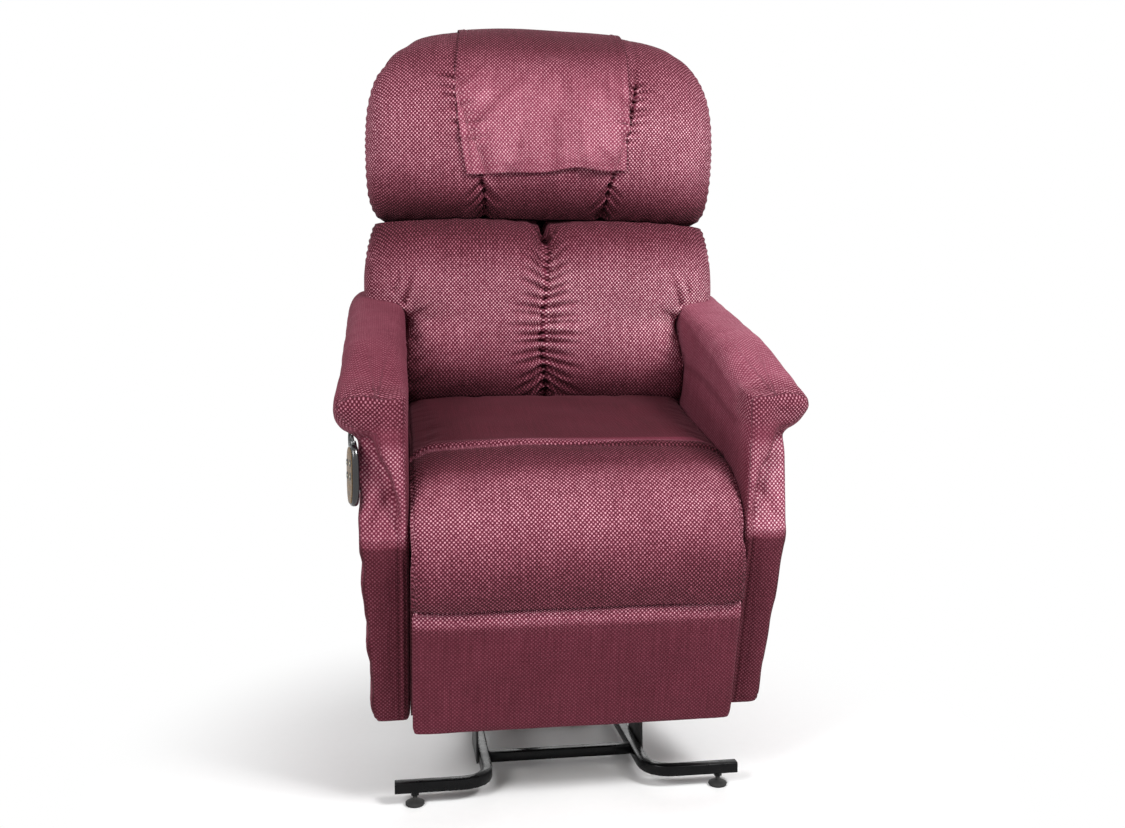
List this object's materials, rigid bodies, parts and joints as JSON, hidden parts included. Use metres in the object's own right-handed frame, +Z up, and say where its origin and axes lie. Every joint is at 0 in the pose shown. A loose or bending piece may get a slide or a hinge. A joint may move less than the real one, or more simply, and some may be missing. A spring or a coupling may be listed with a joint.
{
  "type": "power lift recliner chair",
  "caption": "Upholstered recliner armchair on a tubular lift base, drawn half risen and tipped forward, with folding footrest, reclining back, draped headrest cover and corded handset.",
  "frame": {"origin": "middle of the underside of the foot pads, on the floor", "axes": "+Z up, -Y towards the front of the chair, +X towards the right of someone facing it"},
  "size_m": [0.7574, 0.7704, 1.3712],
  "materials": {
    "wine_fabric": "waffle-woven chenille, soft and matt",
    "panel_fabric": "waffle-woven chenille, stretched over a board",
    "black_tube": "gloss black powder coat",
    "black_steel": "satin black powder coat",
    "bright_steel": "bright plated steel",
    "rubber": "matt black",
    "black_plastic": "fine-textured black plastic",
    "bronze_plastic": "metallic bronze film",
    "button_plastic": "soft-touch black with pale arrows",
    "board": "plain plywood, hidden under fabric"
  },
  "bodies": {
    "base": {"base_rail_left": "black_tube", "base_rail_right": "black_tube", "base_front_crossbar": "black_tube", "base_rear_crossbar": "black_tube", "lift_bracket_left": "black_steel", "lift_bracket_right": "black_steel", "power_supply": "black_plastic"},
    "lift_arm": {"lift_arm": "black_steel"},
    "follower": {"follower_arm_left": "black_steel", "follower_arm_right": "black_steel"},
    "lift_motor": {"lift_motor": "black_plastic"},
    "lift_rod": {"lift_push_rod": "bright_steel"},
    "carriage": {"chair_side_plate_left": "black_steel", "chair_side_plate_right": "black_steel", "seat_rail_left": "black_steel", "seat_rail_right": "black_steel", "seat_front_tube": "black_steel", "seat_mid_tube": "black_steel", "seat_rear_tube": "black_steel", "seat_springs": "bright_steel", "arm_left": "wine_fabric", "arm_right": "wine_fabric", "arm_pad_left": "wine_fabric", "arm_pad_right": "wine_fabric", "seat_cushion": "wine_fabric", "rear_valance": "wine_fabric", "handset_holder": "black_plastic", "handset_cord": "black_plastic", "cord_grommet": "rubber", "handset_housing": "black_plastic", "handset_faceplate": "bronze_plastic"},
    "back": {"back_post_left": "board", "back_post_right": "board", "back_top_rail": "board", "back_lower_rail": "board", "back_outer_panel": "wine_fabric", "lumbar_cushion": "wine_fabric", "headrest_cushion": "wine_fabric", "headrest_cover": "wine_fabric"},
    "footrest_drive": {"footrest_drive": "black_steel"},
    "footrest_front_links": {"footrest_front_link_left": "black_steel", "footrest_front_link_right": "black_steel"},
    "footrest_control_links": {"footrest_control_link_left": "black_steel", "footrest_control_link_right": "black_steel"},
    "footrest_drag_links": {"footrest_drag_link_left": "black_steel", "footrest_drag_link_right": "black_steel"},
    "footrest_panel": {"footrest_board": "board", "footrest_pad": "panel_fabric", "footrest_panel_bracket_left": "black_steel", "footrest_panel_bracket_right": "black_steel"},
    "recline_motor": {"recline_motor": "black_plastic"},
    "recline_rod": {"recline_push_rod": "bright_steel"},
    "foot_front_left": {"foot_front_left": "rubber"},
    "foot_front_right": {"foot_front_right": "rubber"},
    "foot_rear_left": {"foot_rear_left": "rubber"},
    "foot_rear_right": {"foot_rear_right": "rubber"},
    "handset_button_1": {"handset_button_1": "button_plastic"},
    "handset_button_2": {"handset_button_2": "button_plastic"},
    "handset_button_3": {"handset_button_3": "button_plastic"},
    "handset_button_4": {"handset_button_4": "button_plastic"}
  },
  "joints": [
    {"name": "lift_raise", "type": "hinge", "parent": "base", "child": "lift_arm", "pos_m": [0, -0.12284, 0.12], "axis": [1, 0, 0], "range_deg": [-40.5, 22]},
    {"name": "chair_tilt", "type": "hinge", "parent": "lift_arm", "child": "carriage", "pos_m": [0, 0.12314, 0.34011], "axis": [1, 0, 0], "range_deg": [-13.4, 24.6]},
    {"name": "follower_swing", "type": "hinge", "parent": "base", "child": "follower", "pos_m": [0, -0.07444, 0.1563], "axis": [1, 0, 0], "range_deg": [-36.4, 19.8]},
    {"name": "lift_motor_swing", "type": "hinge", "parent": "base", "child": "lift_motor", "pos_m": [-0.045, 0.31216, 0.062], "axis": [1, 0, 0], "range_deg": [-4.6, 2.6]},
    {"name": "lift_rod_pivot", "type": "hinge", "parent": "lift_arm", "child": "lift_rod", "pos_m": [-0.045, -0.17427, 0.18786], "axis": [1, 0, 0], "range_deg": [-19.7, 36.1]},
    {"name": "back_recline", "type": "hinge", "parent": "carriage", "child": "back", "pos_m": [0, 0.19791, 0.62225], "axis": [-1, 0, 0], "range_deg": [0, 35]},
    {"name": "footrest_extend", "type": "hinge", "parent": "carriage", "child": "footrest_drive", "pos_m": [0, -0.24927, 0.3691], "axis": [-1, 0, 0], "range_deg": [0, 140]},
    {"name": "footrest_front_swing", "type": "hinge", "parent": "footrest_drive", "child": "footrest_front_links", "pos_m": [0, -0.06161, 0.33936], "axis": [-1, 0, 0], "range_deg": [-106.4, 0]},
    {"name": "footrest_panel_turn", "type": "hinge", "parent": "footrest_front_links", "child": "footrest_panel", "pos_m": [0, -0.2799, 0.21468], "axis": [-1, 0, 0], "range_deg": [0, 56.4]},
    {"name": "footrest_control_swing", "type": "hinge", "parent": "carriage", "child": "footrest_control_links", "pos_m": [0, -0.23863, 0.33054], "axis": [-1, 0, 0], "range_deg": [0, 131.6]},
    {"name": "footrest_drag_swing", "type": "hinge", "parent": "footrest_drive", "child": "footrest_drag_links", "pos_m": [0, -0.07213, 0.3532], "axis": [-1, 0, 0], "range_deg": [-108.5, 0]},
    {"name": "recline_motor_swing", "type": "hinge", "parent": "carriage", "child": "recline_motor", "pos_m": [0.045, 0.11329, 0.44703], "axis": [-1, 0, 0], "range_deg": [0, 7]},
    {"name": "recline_rod_pivot", "type": "hinge", "parent": "footrest_drive", "child": "recline_rod", "pos_m": [0.045, -0.232, 0.33753], "axis": [-1, 0, 0], "range_deg": [-133.2, 0]},
    {"name": "foot_front_left_screw", "type": "slide", "parent": "base", "child": "foot_front_left", "axis": [0, 0, -1], "range_m": [0, 0.012]},
    {"name": "foot_front_right_screw", "type": "slide", "parent": "base", "child": "foot_front_right", "axis": [0, 0, -1], "range_m": [0, 0.012]},
    {"name": "foot_rear_left_screw", "type": "slide", "parent": "base", "child": "foot_rear_left", "axis": [0, 0, -1], "range_m": [0, 0.012]},
    {"name": "foot_rear_right_screw", "type": "slide", "parent": "base", "child": "foot_rear_right", "axis": [0, 0, -1], "range_m": [0, 0.012]},
    {"name": "handset_button_1_press", "type": "slide", "parent": "carriage", "child": "handset_button_1", "axis": [0.9659, 0.2588, 0], "range_m": [0, 0.0015], "stiffness_N_per_m": 400, "springref_m": -0.001},
    {"name": "handset_button_2_press", "type": "slide", "parent": "carriage", "child": "handset_button_2", "axis": [0.9659, 0.2588, 0], "range_m": [0, 0.0015], "stiffness_N_per_m": 400, "springref_m": -0.001},
    {"name": "handset_button_3_press", "type": "slide", "parent": "carriage", "child": "handset_button_3", "axis": [0.9659, 0.2588, 0], "range_m": [0, 0.0015], "stiffness_N_per_m": 400, "springref_m": -0.001},
    {"name": "handset_button_4_press", "type": "slide", "parent": "carriage", "child": "handset_button_4", "axis": [0.9659, 0.2588, 0], "range_m": [0, 0.0015], "stiffness_N_per_m": 400, "springref_m": -0.001}
  ],
  "couplings": [
    {"joint": "chair_tilt", "follows": "lift_raise", "ratio": -0.60516},
    {"joint": "follower_swing", "follows": "lift_raise", "ratio": 0.8949},
    {"joint": "lift_motor_swing", "follows": "lift_raise", "ratio": 0.1109},
    {"joint": "lift_rod_pivot", "follows": "lift_raise", "ratio": -0.8891},
    {"joint": "footrest_front_swing", "follows": "footrest_extend", "ratio": -0.759},
    {"joint": "footrest_panel_turn", "follows": "footrest_extend", "ratio": 0.40186},
    {"joint": "footrest_control_swing", "follows": "footrest_extend", "ratio": 0.9393},
    {"joint": "footrest_drag_swing", "follows": "footrest_extend", "ratio": -0.7743},
    {"joint": "recline_motor_swing", "follows": "footrest_extend", "ratio": 0.0495},
    {"joint": "recline_rod_pivot", "follows": "footrest_extend", "ratio": -0.9505}
  ]
}
